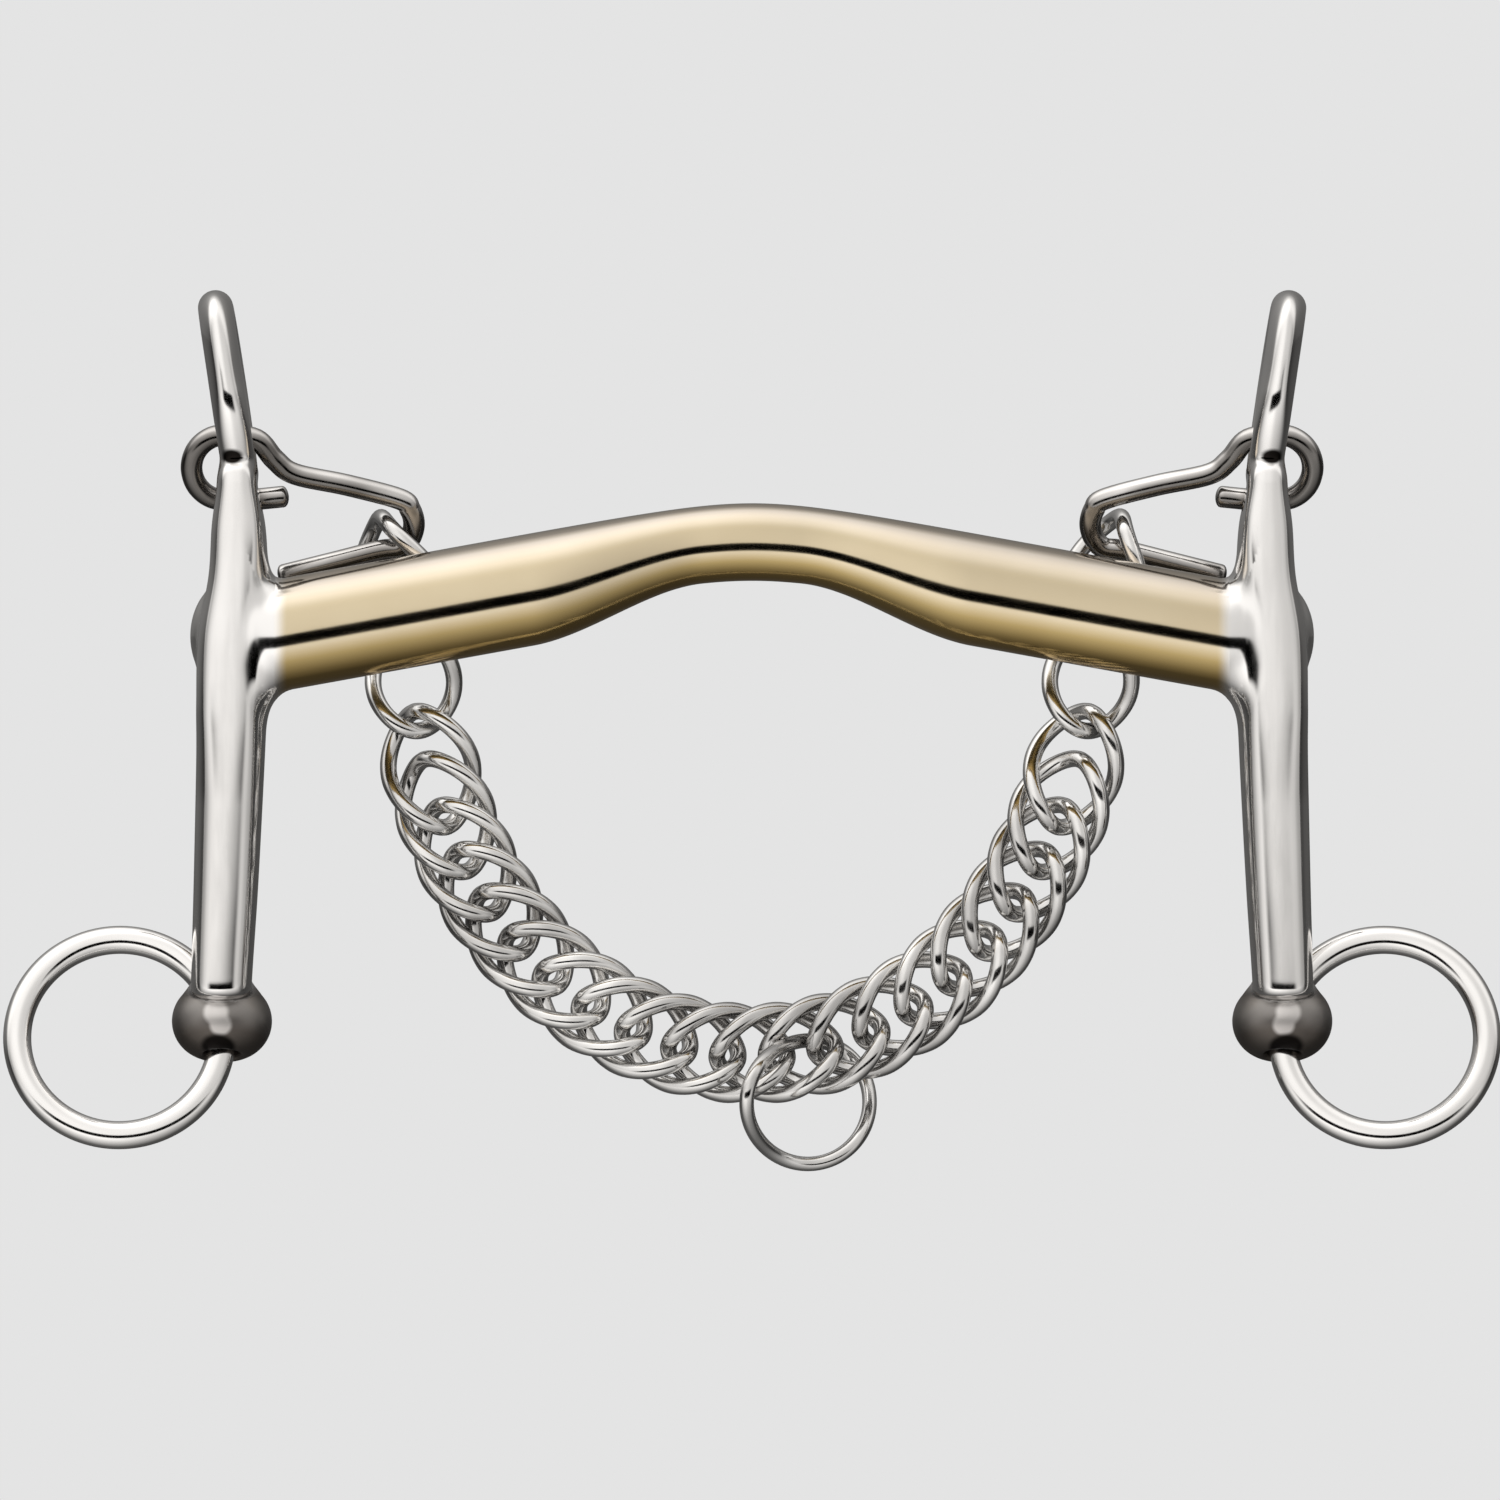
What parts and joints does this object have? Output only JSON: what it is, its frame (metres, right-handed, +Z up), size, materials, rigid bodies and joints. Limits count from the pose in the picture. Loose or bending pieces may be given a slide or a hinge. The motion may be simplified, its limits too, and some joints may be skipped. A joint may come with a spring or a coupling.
{
  "type": "curb bit",
  "caption": "Curb bit with a raised gold port, fixed steel cheeks, loose rein rings, curb hooks and a flat curb chain of twisted rings with a fly link.",
  "frame": {"origin": "middle of the straight line between the two ends of the mouthpiece", "axes": "+X along the mouthpiece to the right cheek, +Y to the back, where the chain hangs, +Z up the cheeks to the eyes"},
  "size_m": [0.2124, 0.0319, 0.125],
  "materials": {
    "mouthpiece_gold": "polished pale gold alloy",
    "polished_steel": "mirror polished",
    "chain_steel": "polished wire"
  },
  "bodies": {
    "bit": {"mouthpiece": "mouthpiece_gold", "left_cheek": "polished_steel", "right_cheek": "polished_steel"},
    "left_rein_ring": {"left_rein_ring": "polished_steel"},
    "right_rein_ring": {"right_rein_ring": "polished_steel"},
    "left_curb_hook": {"left_curb_hook": "polished_steel"},
    "right_curb_hook": {"right_curb_hook": "polished_steel"},
    "chain_row_01": {"chain_link_01": "chain_steel", "chain_link_24": "chain_steel"},
    "chain_row_02": {"chain_link_02": "chain_steel", "chain_link_23": "chain_steel"},
    "chain_row_03": {"chain_link_03": "chain_steel", "chain_link_22": "chain_steel"},
    "chain_row_04": {"chain_link_04": "chain_steel", "chain_link_21": "chain_steel"},
    "chain_row_05": {"chain_link_05": "chain_steel", "chain_link_20": "chain_steel"},
    "chain_row_06": {"chain_link_06": "chain_steel", "chain_link_19": "chain_steel"},
    "chain_row_07": {"chain_link_07": "chain_steel", "chain_link_18": "chain_steel"},
    "chain_row_08": {"chain_link_08": "chain_steel", "chain_link_17": "chain_steel"},
    "chain_row_09": {"chain_link_09": "chain_steel", "chain_link_16": "chain_steel"},
    "chain_row_10": {"chain_link_10": "chain_steel", "chain_link_15": "chain_steel"},
    "chain_row_11": {"chain_link_11": "chain_steel", "chain_link_14": "chain_steel"},
    "chain_row_12": {"chain_link_12": "chain_steel", "chain_link_13": "chain_steel"},
    "fly_link": {"fly_link": "chain_steel"}
  },
  "joints": [
    {"name": "left_rein_ring_swing", "type": "hinge", "parent": "bit", "child": "left_rein_ring", "pos_m": [-0.07515, 0.0027, -0.0546], "axis": [0, -0.309, -0.9511], "range_deg": [0, 180]},
    {"name": "right_rein_ring_swing", "type": "hinge", "parent": "bit", "child": "right_rein_ring", "pos_m": [0.07515, 0.0027, -0.0546], "axis": [0, 0.309, 0.9511], "range_deg": [0, 180]},
    {"name": "left_curb_hook_swing", "type": "hinge", "parent": "bit", "child": "left_curb_hook", "pos_m": [-0.07426, 0, 0.0349], "axis": [1, 0, 0], "range_deg": [0, 45]},
    {"name": "right_curb_hook_swing", "type": "hinge", "parent": "bit", "child": "right_curb_hook", "pos_m": [0.07426, 0, 0.0349], "axis": [1, 0, 0], "range_deg": [0, 45]},
    {"name": "chain_row_01_fold", "type": "hinge", "parent": "left_curb_hook", "child": "chain_row_01", "pos_m": [0, 0.00951, 0.01683], "axis": [1, 0, 0], "range_deg": [0, 8]},
    {"name": "chain_row_02_fold", "type": "hinge", "parent": "chain_row_01", "child": "chain_row_02", "pos_m": [0, 0.0132, 0.00209], "axis": [1, 0, 0], "range_deg": [-10, 20]},
    {"name": "chain_row_03_fold", "type": "hinge", "parent": "chain_row_02", "child": "chain_row_03", "pos_m": [0, 0.0132, -0.01204], "axis": [1, 0, 0], "range_deg": [-15, 20]},
    {"name": "chain_row_04_fold", "type": "hinge", "parent": "chain_row_03", "child": "chain_row_04", "pos_m": [0, 0.0132, -0.02216], "axis": [1, 0, 0], "range_deg": [-5, 5]},
    {"name": "chain_row_05_fold", "type": "hinge", "parent": "chain_row_04", "child": "chain_row_05", "pos_m": [0, 0.0132, -0.02858], "axis": [1, 0, 0], "range_deg": [-5, 5]},
    {"name": "chain_row_06_fold", "type": "hinge", "parent": "chain_row_05", "child": "chain_row_06", "pos_m": [0, 0.0132, -0.0347], "axis": [1, 0, 0], "range_deg": [-5, 5]},
    {"name": "chain_row_07_fold", "type": "hinge", "parent": "chain_row_06", "child": "chain_row_07", "pos_m": [0, 0.0132, -0.04042], "axis": [1, 0, 0], "range_deg": [-5, 5]},
    {"name": "chain_row_08_fold", "type": "hinge", "parent": "chain_row_07", "child": "chain_row_08", "pos_m": [0, 0.0132, -0.04562], "axis": [1, 0, 0], "range_deg": [-5, 5]},
    {"name": "chain_row_09_fold", "type": "hinge", "parent": "chain_row_08", "child": "chain_row_09", "pos_m": [0, 0.0132, -0.05018], "axis": [1, 0, 0], "range_deg": [-5, 5]},
    {"name": "chain_row_10_fold", "type": "hinge", "parent": "chain_row_09", "child": "chain_row_10", "pos_m": [0, 0.0132, -0.05395], "axis": [1, 0, 0], "range_deg": [-5, 5]},
    {"name": "chain_row_11_fold", "type": "hinge", "parent": "chain_row_10", "child": "chain_row_11", "pos_m": [0, 0.0132, -0.05678], "axis": [1, 0, 0], "range_deg": [-5, 5]},
    {"name": "chain_row_12_fold", "type": "hinge", "parent": "chain_row_11", "child": "chain_row_12", "pos_m": [0, 0.0132, -0.05855], "axis": [1, 0, 0], "range_deg": [-2, 4]},
    {"name": "fly_link_swing", "type": "hinge", "parent": "chain_row_12", "child": "fly_link", "pos_m": [0.008, 0.0114, -0.058], "axis": [0, 1, 0], "range_deg": [-10, 6]}
  ],
  "couplings": [
    {"joint": "right_curb_hook_swing", "follows": "left_curb_hook_swing", "ratio": 1}
  ]
}
